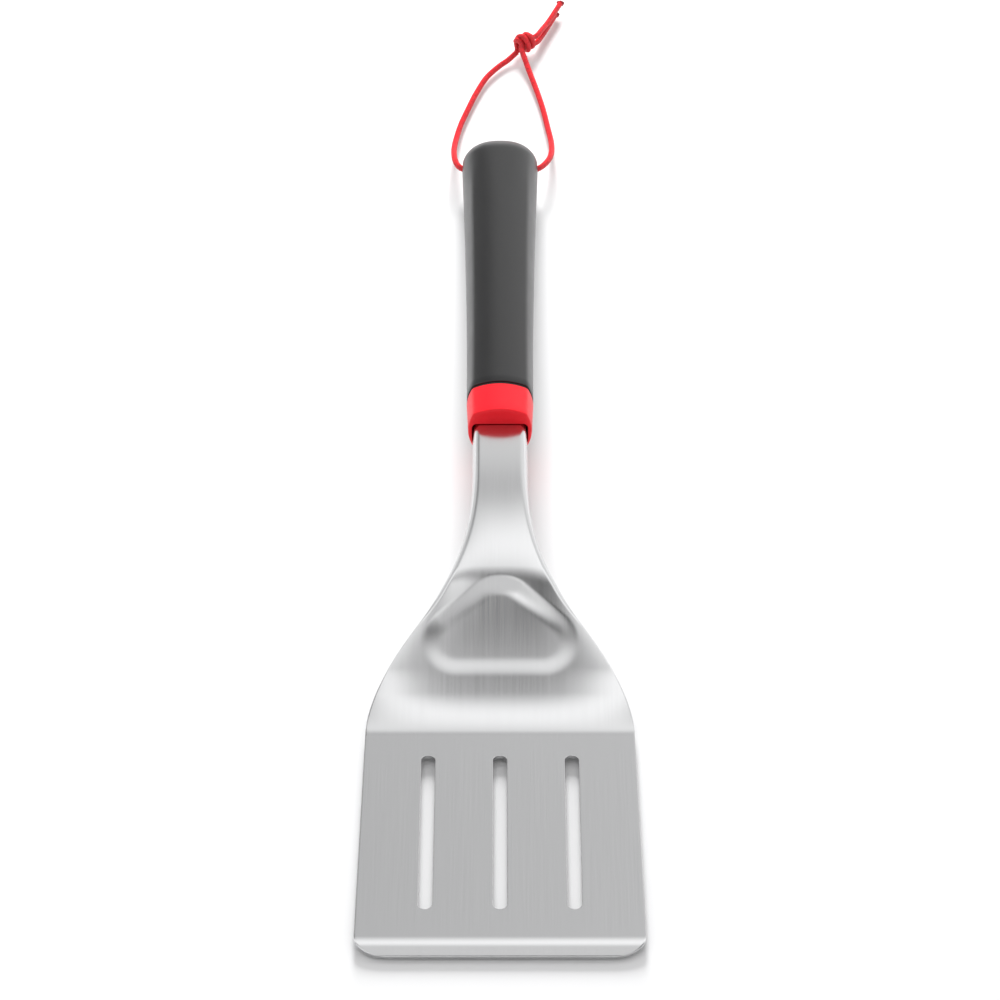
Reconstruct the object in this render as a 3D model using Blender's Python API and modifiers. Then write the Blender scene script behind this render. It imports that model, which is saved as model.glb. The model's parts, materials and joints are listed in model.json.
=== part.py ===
"""Grill spatula: a stamped steel head held in a moulded handle with a hanging cord.

Units are metres. The blade points towards -Y and the butt of the handle towards +Y, +Z is up,
and the tool lies on a table at Z = 0, on the edge of its lip and the underside of its butt.

The head is one sheet. Its side view is a chain of straights and arcs, walked from the lip back
to the end of the tang, and its width and its folded flanges vary along that chain. The handle
is built in its own frame: local Y runs along the handle from the collar's front face, and local
Z = 0 is the middle of the handle's section.
"""
import math

import bmesh
import bpy
from mathutils import Matrix, Vector

MM = 0.001

# ------------------------------------------------------------------ driving sizes: steel head
SHEET = 1.5 * MM                   # sheet thickness
BLADE_WIDTH = 100.5 * MM           # across the front
HEEL_WIDTH = 98.6 * MM             # across the heel
BLADE_LENGTH = 99.0 * MM           # flat part, fold to heel
LIP_FLAT = 4.0 * MM                # straight part of the bent front lip
LIP_RADIUS = 20.0 * MM
LIP_ANGLE = math.radians(13.0)
LIP_CORNER = 10.9 * MM             # sideways reach of the rounded front corners
CREASE_RADIUS = 25.0 * MM          # quick bend at the end of the flat blade
CREASE_ANGLE = math.radians(6.0)   # slope behind it
HEEL_RADIUS = 88.0 * MM            # gentler bend up to the slope
HEEL_ANGLE = math.radians(17.2)    # slope behind it
RISE_RADIUS = 387.0 * MM           # the slope that carries the dish is slightly hollow
RISE_ANGLE = math.radians(24.0)    # slope at its upper end
BROW_RADIUS = 45.0 * MM            # quick bend above the dish
BROW_ANGLE = math.radians(14.5)    # slope behind it
CREST_RADIUS = 205.0 * MM          # where the neck levels out again
NECK_STRAIGHT = 12.5 * MM          # level part in front of the collar
NECK_WIDTH = 21.6 * MM
WAIST_AT = 44.6 * MM               # behind the blade, where the outline narrows fastest
WAIST_SPAN = 46.8 * MM             # length over which it narrows
NARROW_AT = 121.0 * MM             # behind the blade, where it reaches the neck's width
CROWN_DEPTH = 2.1 * MM             # how far the edges of the slope droop below its middle
CROWN_FROM = 4.0 * MM              # behind the blade, where the droop starts
CROWN_FULL = 30.0 * MM
CROWN_FADES = 36.0 * MM
CROWN_ENDS = 120.0 * MM
SHOULDER_RADIUS = 2.5 * MM         # fold between the neck's top and its flanges
FLANGE_DEPTH = 8.0 * MM
FLANGE_ANGLE = math.radians(84.0)  # flanges lean out a little
FLANGE_FULL_AT = 100.6 * MM        # behind the blade, where the flanges are fully folded
SLOT_COUNT = 3
SLOT_WIDTH = 5.0 * MM
SLOT_LENGTH = 76.0 * MM            # end to end
SLOT_PITCH = 26.0 * MM
SLOT_FROM_FOLD = 12.6 * MM         # lip fold to the slots' front ends
DISH_DEPTH = 0.95 * MM             # rounded triangle pressed into the slope, at its middle
DISH_SLOPE = 0.035                 # how fast it deepens towards its top
DISH_WALL = 8.0 * MM
DISH_ROUND = 10.0 * MM
DISH_TOP_HALF = 0.6 * MM           # half-width of the triangle's blunt top, before rounding
DISH_BASE_HALF = 15.5 * MM         # half-width of its base, before rounding
DISH_BASE_AT = 40.0 * MM           # plan distance from the blade to the base corners
DISH_ALONG = 11.6 * MM             # plan distance from the base corners to the top
TANG_SHOULDER = 3.8 * MM           # the tang is narrower than the neck by this on each side
TANG_LENGTH = 165.0 * MM           # from the collar's front face to the end of the tang

# ------------------------------------------------------------------ driving sizes: handle
COLLAR_LENGTH = 18.5 * MM
COLLAR_WALL = 1.8 * MM             # beside the neck, at the collar's front face
COLLAR_GAIN = 0.7 * MM             # how much the half-width grows from there to the grip
COLLAR_FRONT_HEIGHT = 20.8 * MM
COLLAR_BACK_HEIGHT = 21.8 * MM     # also the grip's, where the two meet
COLLAR_EDGE = 0.9 * MM             # rounding of the collar's front edge
SEAL_WIDTH = 1.5 * MM
SEAL_INSET = 0.5 * MM              # the seal sits below the handle's surface
GRIP_BACK_WIDTH = 33.6 * MM        # at the cord's cross hole, where the grip is widest
GRIP_BACK_HEIGHT = 23.0 * MM
GRIP_LENGTH = 185.6 * MM           # from its front face to the cord's cross hole
GRIP_SWELL = 1.7                   # how late the grip widens towards the butt
BUTT_ROUND = 17.0 * MM             # length of the rounded end beyond the cross hole
GRIP_WALL = 2.7 * MM
NECK_SEAT = 3.4 * MM               # top of the neck above the middle of the handle
CHANNEL_IN_COLLAR = 12.0 * MM      # the neck's full flanges reach this far into the collar
CHANNEL_FADE = 6.0 * MM            # length over which the flanges run out
TANG_TAPER = 6.0 * MM              # length over which the neck narrows to the tang
CORE_PAST_HOLE = 7.0 * MM
NOSE_SETBACK = 1.2 * MM            # front of the core's nose behind the collar's face
PIN_RADIUS = 2.0 * MM
PIN_PLACES = (70.0 * MM, 145.0 * MM)         # behind the collar's front face
CORNER_FRONT = 0.83                # where the section's corner sits, as a share of its half-width
CORNER_BACK = 0.76

# Half-width and half-height of the handle's section where its pieces meet
COLLAR_FRONT_HALF = (NECK_WIDTH / 2 + COLLAR_WALL, COLLAR_FRONT_HEIGHT / 2)
GRIP_FRONT_HALF = (COLLAR_FRONT_HALF[0] + COLLAR_GAIN, COLLAR_BACK_HEIGHT / 2)
GRIP_BACK_HALF = (GRIP_BACK_WIDTH / 2, GRIP_BACK_HEIGHT / 2)
TANG_WIDTH = NECK_WIDTH - 2 * TANG_SHOULDER

# ------------------------------------------------------------------ driving sizes: cord and fits
CORD_DIAMETER = 2.7 * MM
HOLE_CLEARANCE = 0.55 * MM         # cord to the wall of the cross hole
MOUTH_FLARE = 1.6 * MM             # how much the cross hole opens at its mouths
FIT_GAP = 0.3 * MM                 # between pieces that touch
NOSE_GAP = 0.5 * MM                # core nose inside the folded neck
RECESS = 0.5 * MM                  # pin ends below the core's surface

# Mesh resolution
COLUMNS = 13                       # across each half of the head
SECTION_STEPS = 4                  # along each of the eight arcs of a handle section
CORD_STEPS = 2                     # tube points for each route point
FIRST_FRACTION_POWER = 1.3         # gathers the head's columns towards its edges

# The cord's route from the cross hole's middle: along the left leg, through the hole and back
# along the right leg.
CORD_LOOP = [
    (7.85, 111.0, -8.9), (3.6, 105.6, -9.9), (-0.5, 100.7, -10.1), (-6.3, 91.0, -10.1),
    (-11.0, 77.7, -10.1), (-14.7, 64.2, -10.1), (-17.8, 51.5, -9.9), (-19.7, 38.5, -8.6),
    (-20.6, 25.5, -5.4), (-20.5, 15.5, -2.6), (-19.9, 8.8, -1.0), (-18.6, 3.6, -0.25),
    (-16.4, 0.8, 0.0), (-13.6, 0.0, 0.0), (-7.0, 0.0, 0.0), (0.0, 0.0, 0.0), (7.0, 0.0, 0.0),
    (13.6, 0.0, 0.0), (16.4, 0.8, 0.0), (18.8, 3.4, -0.3), (21.0, 8.2, -1.1),
    (22.6, 15.2, -2.9), (23.3, 24.5, -5.6), (23.1, 35.8, -8.3), (21.8, 48.5, -9.8),
    (19.7, 64.9, -10.1), (16.8, 81.0, -10.0), (13.9, 94.0, -9.3), (11.9, 102.5, -8.0),
    (10.0, 109.8, -6.4),
]
CORD_TAIL_UPPER = [
    (17.3, 119.9, -5.2), (19.6, 125.8, -5.9), (22.4, 133.5, -7.0), (25.8, 143.0, -7.2),
    (29.2, 152.4, -7.0),
]
CORD_TAIL_LOWER = [
    (17.0, 119.5, -8.9), (19.4, 125.9, -9.9), (21.9, 133.0, -10.1), (24.4, 140.2, -10.1),
    (26.9, 147.2, -10.1),
]
KNOT_CENTRE = (11.8, 115.5, -6.7)
KNOT_HALF = (6.3, 5.0, 4.6)


# ------------------------------------------------------------------ scene helpers
def clear_scene():
    for old in list(bpy.data.objects):
        bpy.data.objects.remove(old)


def collection(name):
    made = bpy.data.collections.new(name)
    bpy.context.scene.collection.children.link(made)
    return made


def material(name, colour, roughness, metallic=0.0):
    made = bpy.data.materials.new(name)
    made.use_nodes = True
    shader = made.node_tree.nodes["Principled BSDF"]
    shader.inputs["Base Color"].default_value = (*colour, 1.0)
    shader.inputs["Roughness"].default_value = roughness
    shader.inputs["Metallic"].default_value = metallic
    return made


def add_object(name, mesh, into, parent=None, surface=None):
    made = bpy.data.objects.new(name, mesh)
    into.objects.link(made)
    made.parent = parent
    if surface:
        mesh.materials.append(surface)
    return made


def add_empty(name, location, into, parent=None, tilt=0.0):
    made = bpy.data.objects.new(name, None)
    into.objects.link(made)
    made.parent = parent
    made.location = location
    made.rotation_euler = (tilt, 0.0, 0.0)
    return made


def as_cutter(obj):
    obj.hide_render = True
    obj.display_type = "WIRE"
    return obj


def boolean(target, other, operation="DIFFERENCE"):
    step = target.modifiers.new(other.name, "BOOLEAN")
    step.object = other
    step.operation = operation


def shade(obj, sharp_degrees=35.0):
    obj.data.shade_smooth()
    obj.data.set_sharp_from_angle(angle=math.radians(sharp_degrees))


# ------------------------------------------------------------------ shapes used more than once
def bezier(points, t):
    """Point on a cubic Bezier curve given by four points."""
    a, b, c, d = (Vector(p) for p in points)
    s = 1.0 - t
    return a * s**3 + b * 3 * s * s * t + c * 3 * s * t * t + d * t**3


def bezier_height(points, x):
    """Second coordinate of a cubic Bezier curve where its first, which only grows, is x."""
    low, high = 0.0, 1.0
    for _ in range(40):
        middle = (low + high) / 2
        if bezier(points, middle)[0] < x:
            low = middle
        else:
            high = middle
    return bezier(points, low)[1]


def smooth(t):
    t = min(max(t, 0.0), 1.0)
    return t * t * (3 - 2 * t)


def loft_mesh(name, rings):
    """Closed mesh through rings of equal length, with flat ends."""
    bm = bmesh.new()
    made = [[bm.verts.new(point) for point in ring] for ring in rings]
    count = len(made[0])
    for near, far in zip(made, made[1:]):
        for i in range(count):
            j = (i + 1) % count
            bm.faces.new((near[i], near[j], far[j], far[i]))
    bm.faces.new(reversed(made[0]))
    bm.faces.new(made[-1])
    bmesh.ops.recalc_face_normals(bm, faces=bm.faces)
    mesh = bpy.data.meshes.new(name)
    bm.to_mesh(mesh)
    bm.free()
    return mesh


def box_mesh(name, low, high):
    """Box between two corners."""
    low, high = Vector(low), Vector(high)
    bm = bmesh.new()
    bmesh.ops.create_cube(bm, size=1.0)
    bmesh.ops.scale(bm, vec=high - low, verts=bm.verts)
    bmesh.ops.translate(bm, vec=(low + high) / 2, verts=bm.verts)
    mesh = bpy.data.meshes.new(name)
    bm.to_mesh(mesh)
    bm.free()
    return mesh


def arched_box_mesh(name, low, high, radius):
    """Box whose two upper edges along Y are rounded."""
    mesh = box_mesh(name, low, high)
    bm = bmesh.new()
    bm.from_mesh(mesh)
    shoulders = [edge for edge in bm.edges
                 if all(abs(vert.co.z - high[2]) < 1e-6 for vert in edge.verts)
                 and abs(edge.verts[0].co.y - edge.verts[1].co.y) > 1e-6]
    bmesh.ops.bevel(bm, geom=shoulders, offset=radius, segments=4, profile=0.5,
                    affect="EDGES")
    bm.to_mesh(mesh)
    bm.free()
    return mesh


def cylinder_mesh(name, radius_low, radius_high, depth, segments=24):
    """Cylinder or cone along Z, centred on the origin."""
    bm = bmesh.new()
    bmesh.ops.create_cone(bm, cap_ends=True, segments=segments, radius1=radius_low,
                          radius2=radius_high, depth=depth)
    mesh = bpy.data.meshes.new(name)
    bm.to_mesh(mesh)
    bm.free()
    return mesh


# ------------------------------------------------------------------ side view of the head
def head_chain(drop):
    """Straights and arcs of the sheet's top, from the lip to the end of the tang."""
    return [
        ("lip", LIP_FLAT, 0.0, 1),
        ("fold", LIP_RADIUS, -LIP_ANGLE, 5),
        ("blade", BLADE_LENGTH, 0.0, 6),
        ("crease", CREASE_RADIUS, CREASE_ANGLE, 2),
        ("heel", HEEL_RADIUS, HEEL_ANGLE - CREASE_ANGLE, 6),
        ("rise", RISE_RADIUS, RISE_ANGLE - HEEL_ANGLE, 18),
        ("brow", BROW_RADIUS, BROW_ANGLE - RISE_ANGLE, 3),
        ("crest", CREST_RADIUS, -BROW_ANGLE - drop, 9),
        ("neck", NECK_STRAIGHT, 0.0, 2),
        ("channel", CHANNEL_IN_COLLAR, 0.0, 2),
        ("fade", CHANNEL_FADE, 0.0, 4),
        ("taper", TANG_TAPER, 0.0, 4),
        ("tang", TANG_LENGTH - CHANNEL_IN_COLLAR - CHANNEL_FADE - TANG_TAPER, 0.0, 4),
    ]


def walk(drop):
    """Stations along the sheet's top: name of the stretch, share of it, y, z and heading."""
    y, z, heading = 0.0, SHEET * math.cos(LIP_ANGLE), LIP_ANGLE
    stations = [("lip", 0.0, y, z, heading)]
    for name, size, turn, steps in head_chain(drop):
        y0, z0, h0 = y, z, heading
        for i in range(1, steps + 1):
            share = i / steps
            if turn:
                heading = h0 + turn * share
                radius = math.copysign(size, turn)
                y = y0 + radius * (math.sin(heading) - math.sin(h0))
                z = z0 - radius * (math.cos(heading) - math.cos(h0))
            else:
                y = y0 + size * share * math.cos(h0)
                z = z0 + size * share * math.sin(h0)
            stations.append((name, share, y, z, heading))
    return stations


def end_of(stations, name):
    """The last station of a named stretch."""
    return [s for s in stations if s[0] == name][-1]


def handle_place(drop):
    """Middle of the collar's front face, in the plane of the side view."""
    _, _, y, z, heading = end_of(walk(drop), "neck")
    return Vector((0.0, y + NECK_SEAT * math.sin(heading), z - NECK_SEAT * math.cos(heading)))


# ------------------------------------------------------------------ section of the handle
def hole_place():
    """Cross hole behind the collar's front face, measured along the handle."""
    return COLLAR_LENGTH + SEAL_WIDTH + GRIP_LENGTH


def grip_half(v):
    """Half-width and half-height of the grip at v along the handle."""
    start = COLLAR_LENGTH + SEAL_WIDTH
    u = min(max((v - start) / GRIP_LENGTH, 0.0), 1.0)
    past = max(v - hole_place(), 0.0) / BUTT_ROUND
    end = math.sqrt(max(1.0 - past * past, 0.0))
    width = GRIP_FRONT_HALF[0] + (GRIP_BACK_HALF[0] - GRIP_FRONT_HALF[0]) * u**GRIP_SWELL
    height = GRIP_FRONT_HALF[1] + (GRIP_BACK_HALF[1] - GRIP_FRONT_HALF[1]) * u
    return width * end, height * end


def roundness(v):
    """0 where the section has clear corners, 1 where it is an oval, at the butt."""
    return smooth((v - hole_place() + 45 * MM) / (45 * MM))


def section(v, half_width, half_height):
    """One ring of the handle: a crowned top and bottom and bowed sides that meet at corners."""
    u = min(max(v / hole_place(), 0.0), 1.0)
    corner_x = half_width * (CORNER_FRONT + (CORNER_BACK - CORNER_FRONT) * u)
    corner_z = half_height * 0.77
    quarter = []
    for i in range(SECTION_STEPS):
        x = corner_x * i / SECTION_STEPS
        quarter.append((x, half_height - (half_height - corner_z) * (x / corner_x)**2))
    for i in range(SECTION_STEPS + 1):
        z = corner_z * (1 - i / SECTION_STEPS)
        quarter.append((half_width - (half_width - corner_x) * (z / corner_z)**2, z))
    blend = roundness(v)
    count = len(quarter) - 1
    for i, (x, z) in enumerate(quarter):
        angle = math.pi / 2 * (1 - i / count)
        oval = (half_width * math.copysign(abs(math.cos(angle))**0.84, 1),
                half_height * abs(math.sin(angle))**0.84)
        quarter[i] = (x + (oval[0] - x) * blend, z + (oval[1] - z) * blend)
    right = quarter + [(x, -z) for x, z in reversed(quarter[:-1])]
    left = [(-x, z) for x, z in reversed(right[1:-1])]
    return [Vector((x, v, z)) for x, z in right + left]


def grip_stations(start, end):
    """Places along the grip, closer together round the butt, from start to end."""
    straight = [start + (hole_place() - start) * i / 14 for i in range(15)]
    butt = [hole_place() + BUTT_ROUND * math.sin(math.radians(a))
            for a in (10, 20, 30, 40, 50, 60, 69, 77, 83)]
    return [v for v in straight + butt if v < end] + ([end] if end < butt[-1] else [])


# ------------------------------------------------------------------ rest on the table
def lowest_of_grip(drop):
    """Height of the grip's lowest point for a drop angle of the handle."""
    origin = handle_place(drop)
    steps = 400
    length = hole_place() + BUTT_ROUND
    return min(origin.z - length * i / steps * math.sin(drop)
               - grip_half(length * i / steps)[1] * math.cos(drop) for i in range(steps + 1))


def handle_drop():
    """Angle at which the handle falls back to the table, so that the butt rests on it."""
    low, high = math.radians(-25.0), math.radians(30.0)
    for _ in range(50):
        middle = (low + high) / 2
        if lowest_of_grip(middle) > 0.0:
            low = middle
        else:
            high = middle
    return low


# ------------------------------------------------------------------ steel head
def head_places(stations):
    """Plan distances that the outline and the flanges are tied to."""
    return {name: end_of(stations, name)[2] for name in ("fold", "blade", "channel", "taper")}


def half_width(y, place):
    """Half-width of the head's outline in plan."""
    wide, narrow = HEEL_WIDTH / 2, NECK_WIDTH / 2
    middle = (place["blade"] + WAIST_AT, narrow + (wide - narrow) * 0.565)
    end = place["blade"] + NARROW_AT
    slope = -0.86 * (wide - narrow) / WAIST_SPAN
    if y <= place["fold"]:
        reach = 1.0 - y / place["fold"]
        return BLADE_WIDTH / 2 - LIP_CORNER * (1 - math.sqrt(max(1 - reach * reach, 0.0)))
    if y <= place["blade"]:
        share = (y - place["fold"]) / (place["blade"] - place["fold"])
        return (BLADE_WIDTH + (HEEL_WIDTH - BLADE_WIDTH) * share) / 2
    if y <= middle[0]:
        shoulder = [(place["blade"], wide), (place["blade"] + 0.42 * WAIST_SPAN, wide),
                    (middle[0] - 0.19 * WAIST_SPAN, middle[1] - 0.19 * WAIST_SPAN * slope),
                    middle]
        return bezier_height(shoulder, y)
    if y <= end:
        waist = [middle, (middle[0] + 0.38 * WAIST_SPAN, middle[1] + 0.38 * WAIST_SPAN * slope),
                 (middle[0] + 0.72 * WAIST_SPAN, narrow), (end, narrow)]
        return bezier_height(waist, y)
    share = smooth((y - place["channel"]) / (place["taper"] - place["channel"]))
    return narrow + (TANG_WIDTH / 2 - narrow) * share


def flange_depth(y, place):
    """How far the sheet's edges are folded down."""
    along = y - place["blade"] - WAIST_AT
    grown = smooth(along / (FLANGE_FULL_AT - WAIST_AT))
    return FLANGE_DEPTH * grown * (1 - smooth((y - place["channel"]) / CHANNEL_FADE))


def sheet_section(half, depth):
    """Right half of the sheet across the head: points at fixed shares of its flat width."""
    angle = min(FLANGE_ANGLE, math.acos(1 - min(depth / SHOULDER_RADIUS, 1.0)))
    fall = SHOULDER_RADIUS * (1 - math.cos(angle))
    flange = max(depth - fall, 0.0) / math.sin(angle) if angle >= FLANGE_ANGLE else 0.0
    flat = half - SHOULDER_RADIUS * math.sin(angle) - flange * math.cos(angle)
    arc = SHOULDER_RADIUS * angle
    total = flat + arc + flange
    points = []
    for i in range(COLUMNS + 1):
        along = total * (1 - (1 - i / COLUMNS)**FIRST_FRACTION_POWER)
        if along <= flat:
            points.append((along, 0.0))
        elif along <= flat + arc:
            turned = (along - flat) / SHOULDER_RADIUS
            points.append((flat + SHOULDER_RADIUS * math.sin(turned),
                           -SHOULDER_RADIUS * (1 - math.cos(turned))))
        else:
            rest = along - flat - arc
            points.append((flat + SHOULDER_RADIUS * math.sin(angle) + rest * math.cos(angle),
                           -fall - rest * math.sin(angle)))
    return points


def dish(x, y, place):
    """Depth of the shallow rounded triangle pressed into the slope, at a point in plan."""
    base = place["blade"] + DISH_BASE_AT
    top = base + DISH_ALONG
    corners = [Vector(c) for c in ((DISH_BASE_HALF, base), (DISH_TOP_HALF, top),
                                   (-DISH_TOP_HALF, top), (-DISH_BASE_HALF, base))]
    point = Vector((abs(x), y))
    inside = True
    nearest = 1.0
    for a, b in zip(corners, corners[1:] + corners[:1]):
        side = b - a
        share = min(max((point - a).dot(side) / side.dot(side), 0.0), 1.0)
        nearest = min(nearest, (point - a - side * share).length)
        inside = inside and side.cross(point - a) >= 0.0
    distance = (-nearest if inside else nearest) - DISH_ROUND
    floor = DISH_DEPTH + DISH_SLOPE * (y - (base + top) / 2)
    share = min(max(0.5 - distance / DISH_WALL, 0.0), 1.0)
    return floor * smooth(share**0.8)


def crown_drop(y, place):
    """How much lower the sheet's edges lie than its middle, across the slope and the neck."""
    along = y - place["blade"]
    grown = smooth((along - CROWN_FROM) / (CROWN_FULL - CROWN_FROM))
    return CROWN_DEPTH * grown * (1 - smooth((along - CROWN_FADES) / (CROWN_ENDS - CROWN_FADES)))


def head_surface(stations):
    """Top surface of the sheet, open, with its normals up."""
    place = head_places(stations)
    bm = bmesh.new()
    rows = []
    for _, _, y, z, heading in stations:
        half, droop = half_width(y, place), crown_drop(y, place)
        right = sheet_section(half, flange_depth(y, place))
        across = [(-x, dz) for x, dz in reversed(right[1:])] + right
        row = []
        for x, dz in across:
            lift = dz - dish(x, y, place) - droop * abs(x / half)**3
            row.append(bm.verts.new((x, y - lift * math.sin(heading),
                                     z + lift * math.cos(heading))))
        rows.append(row)
    for near, far in zip(rows, rows[1:]):
        for i in range(len(near) - 1):
            bm.faces.new((near[i], near[i + 1], far[i + 1], far[i]))
    mesh = bpy.data.meshes.new("turner_blade")
    bm.to_mesh(mesh)
    bm.free()
    return mesh


def slot_mesh(length, width, depth):
    """A round-ended slot's cutter, centred on the origin and running along Y."""
    outline = bpy.data.curves.new("slot_outline", "CURVE")
    outline.dimensions = "2D"
    outline.fill_mode = "BOTH"
    outline.extrude = depth / 2
    spline = outline.splines.new("POLY")
    steps = 10
    reach = (length - width) / 2
    points = []
    for end, start in ((1, 0.0), (-1, math.pi)):
        for i in range(steps + 1):
            angle = start + math.pi * i / steps
            points.append((width / 2 * math.cos(angle), end * reach + width / 2 * math.sin(angle)))
    spline.points.add(len(points) - 1)
    for target, (x, y) in zip(spline.points, points):
        target.co = (x, y, 0.0, 1.0)
    spline.use_cyclic_u = True
    return curve_to_mesh(outline, "slot_cut")


def curve_to_mesh(curve, name):
    """Closed mesh of a curve, its loose caps welded."""
    holder = bpy.data.objects.new(name, curve)
    bpy.context.scene.collection.objects.link(holder)
    bpy.context.view_layer.update()
    graph = bpy.context.evaluated_depsgraph_get()
    mesh = bpy.data.meshes.new_from_object(holder.evaluated_get(graph))
    bpy.data.objects.remove(holder)
    bm = bmesh.new()
    bm.from_mesh(mesh)
    bmesh.ops.remove_doubles(bm, verts=bm.verts, dist=1e-6)
    bmesh.ops.recalc_face_normals(bm, faces=bm.faces)
    bm.to_mesh(mesh)
    bm.free()
    return mesh


def make_head(stations, parts, cutters, root, steel):
    head = add_object("turner_blade", head_surface(stations), parts, root, steel)
    thicken = head.modifiers.new("sheet", "SOLIDIFY")
    thicken.thickness = SHEET
    thicken.offset = -1.0
    thicken.use_even_offset = True
    fold = end_of(stations, "fold")
    slot = slot_mesh(SLOT_LENGTH, SLOT_WIDTH, 6 * SHEET)
    middle = fold[2] + SLOT_FROM_FOLD + SLOT_LENGTH / 2
    for i in range(SLOT_COUNT):
        cut = as_cutter(add_object(f"slot_cut_{i}", slot, cutters, root))
        cut.location = ((i - (SLOT_COUNT - 1) / 2) * SLOT_PITCH, middle, fold[3] - SHEET / 2)
        boolean(head, cut)
    return head


# ------------------------------------------------------------------ handle pieces
def neck_box(name, low_v, high_v, gap, cutters, frame):
    """Cutter for the space that the folded neck and the core's nose take up."""
    half = NECK_WIDTH / 2 + gap
    mesh = arched_box_mesh(name, (-half, low_v, NECK_SEAT - FLANGE_DEPTH - 1.5 * gap),
                           (half, high_v, NECK_SEAT + gap), SHOULDER_RADIUS * 0.8)
    return as_cutter(add_object(name, mesh, cutters, frame))


def make_collar(parts, cutters, frame, red):
    rings = []
    edge = COLLAR_EDGE
    for v, shrink in ((0.0, edge), (edge * 0.3, edge * 0.3), (edge, 0.0),
                      (COLLAR_LENGTH / 2, 0.0), (COLLAR_LENGTH - FIT_GAP / 2, 0.0)):
        share = v / COLLAR_LENGTH
        half = [a + (b - a) * share - shrink for a, b in zip(COLLAR_FRONT_HALF, GRIP_FRONT_HALF)]
        rings.append(section(v, *half))
    collar = add_object("collar", loft_mesh("collar", rings), parts, frame, red)
    boolean(collar, neck_box("collar_opening", -5 * MM, COLLAR_LENGTH + 5 * MM, FIT_GAP,
                             cutters, frame))
    shade(collar)


def make_seal(parts, cutters, frame, rubber):
    start = COLLAR_LENGTH + FIT_GAP / 2
    end = COLLAR_LENGTH + SEAL_WIDTH - FIT_GAP / 2
    half = [size - SEAL_INSET for size in GRIP_FRONT_HALF]
    rings = [section(v, *half) for v in (start, end)]
    seal = add_object("collar_seal", loft_mesh("collar_seal", rings), parts, frame, rubber)
    boolean(seal, neck_box("seal_opening", start - 5 * MM, end + 5 * MM, FIT_GAP,
                           cutters, frame))
    shade(seal)


def core_rings(start, end, grow):
    """Sections of the core, or of the cavity round it when grow is more than zero."""
    inset = GRIP_WALL - grow
    return [section(v, *[size - inset for size in grip_half(v)]) for v in grip_stations(start, end)]


def pin_cutter(name, place, radius, depth, cutters, frame):
    cut = as_cutter(add_object(name, cylinder_mesh(name, radius, radius, depth), cutters, frame))
    cut.location = (0.0, place, 0.0)
    return cut


def make_core(parts, cutters, frame, nylon, hole):
    front = COLLAR_LENGTH + SEAL_WIDTH + FIT_GAP / 2
    taper_stop = CHANNEL_IN_COLLAR + CHANNEL_FADE + TANG_TAPER
    rings = core_rings(front, hole_place() + CORE_PAST_HOLE, 0.0)
    core = add_object("handle_core", loft_mesh("handle_core", rings), parts, frame, nylon)
    top, bottom = NECK_SEAT + FIT_GAP, NECK_SEAT - SHEET - FIT_GAP
    taper = box_mesh("taper_slot", (-NECK_WIDTH / 2 - FIT_GAP, front - MM, bottom),
                     (NECK_WIDTH / 2 + FIT_GAP, taper_stop, top))
    boolean(core, as_cutter(add_object("taper_slot", taper, cutters, frame)))
    tang = box_mesh("tang_slot", (-TANG_WIDTH / 2 - FIT_GAP, front, bottom),
                    (TANG_WIDTH / 2 + FIT_GAP, TANG_LENGTH + FIT_GAP, top))
    boolean(core, as_cutter(add_object("tang_slot", tang, cutters, frame)))
    lean = FLANGE_DEPTH / math.tan(FLANGE_ANGLE)
    nose_half = NECK_WIDTH / 2 - lean - SHEET - NOSE_GAP
    nose = box_mesh("core_nose", (-nose_half, NOSE_SETBACK, NECK_SEAT - FLANGE_DEPTH),
                    (nose_half, front + 2 * MM, NECK_SEAT - SHEET - NOSE_GAP))
    boolean(core, as_cutter(add_object("core_nose", nose, cutters, frame)), "UNION")
    for i, place in enumerate(PIN_PLACES):
        boolean(core, pin_cutter(f"core_pin_hole_{i}", place, PIN_RADIUS + FIT_GAP,
                                 4 * GRIP_BACK_HALF[1], cutters, frame))
    boolean(core, hole)
    shade(core)


def make_grip(parts, cutters, frame, charcoal, hole, mouths):
    front = COLLAR_LENGTH + SEAL_WIDTH + FIT_GAP / 2
    outer = [section(v, *grip_half(v)) for v in grip_stations(front, hole_place() + BUTT_ROUND)]
    grip = add_object("grip", loft_mesh("grip", outer), parts, frame, charcoal)
    inner = core_rings(front, hole_place() + CORE_PAST_HOLE + FIT_GAP, FIT_GAP)
    mouth = [point - Vector((0.0, 5 * MM, 0.0)) for point in inner[0]]
    cavity = as_cutter(add_object("grip_cavity", loft_mesh("grip_cavity", [mouth] + inner),
                                  cutters, frame))
    boolean(grip, cavity)
    boolean(grip, hole)
    for flare in mouths:
        boolean(grip, flare)
    shade(grip)


def make_pins(parts, frame, steel):
    for name, place in zip(("tang_pin_front", "tang_pin_rear"), PIN_PLACES):
        depth = 2 * (grip_half(place)[1] - GRIP_WALL - RECESS)
        pin = add_object(name, cylinder_mesh(name, PIN_RADIUS, PIN_RADIUS, depth), parts, frame,
                         steel)
        pin.location = (0.0, place, 0.0)
        shade(pin)


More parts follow.
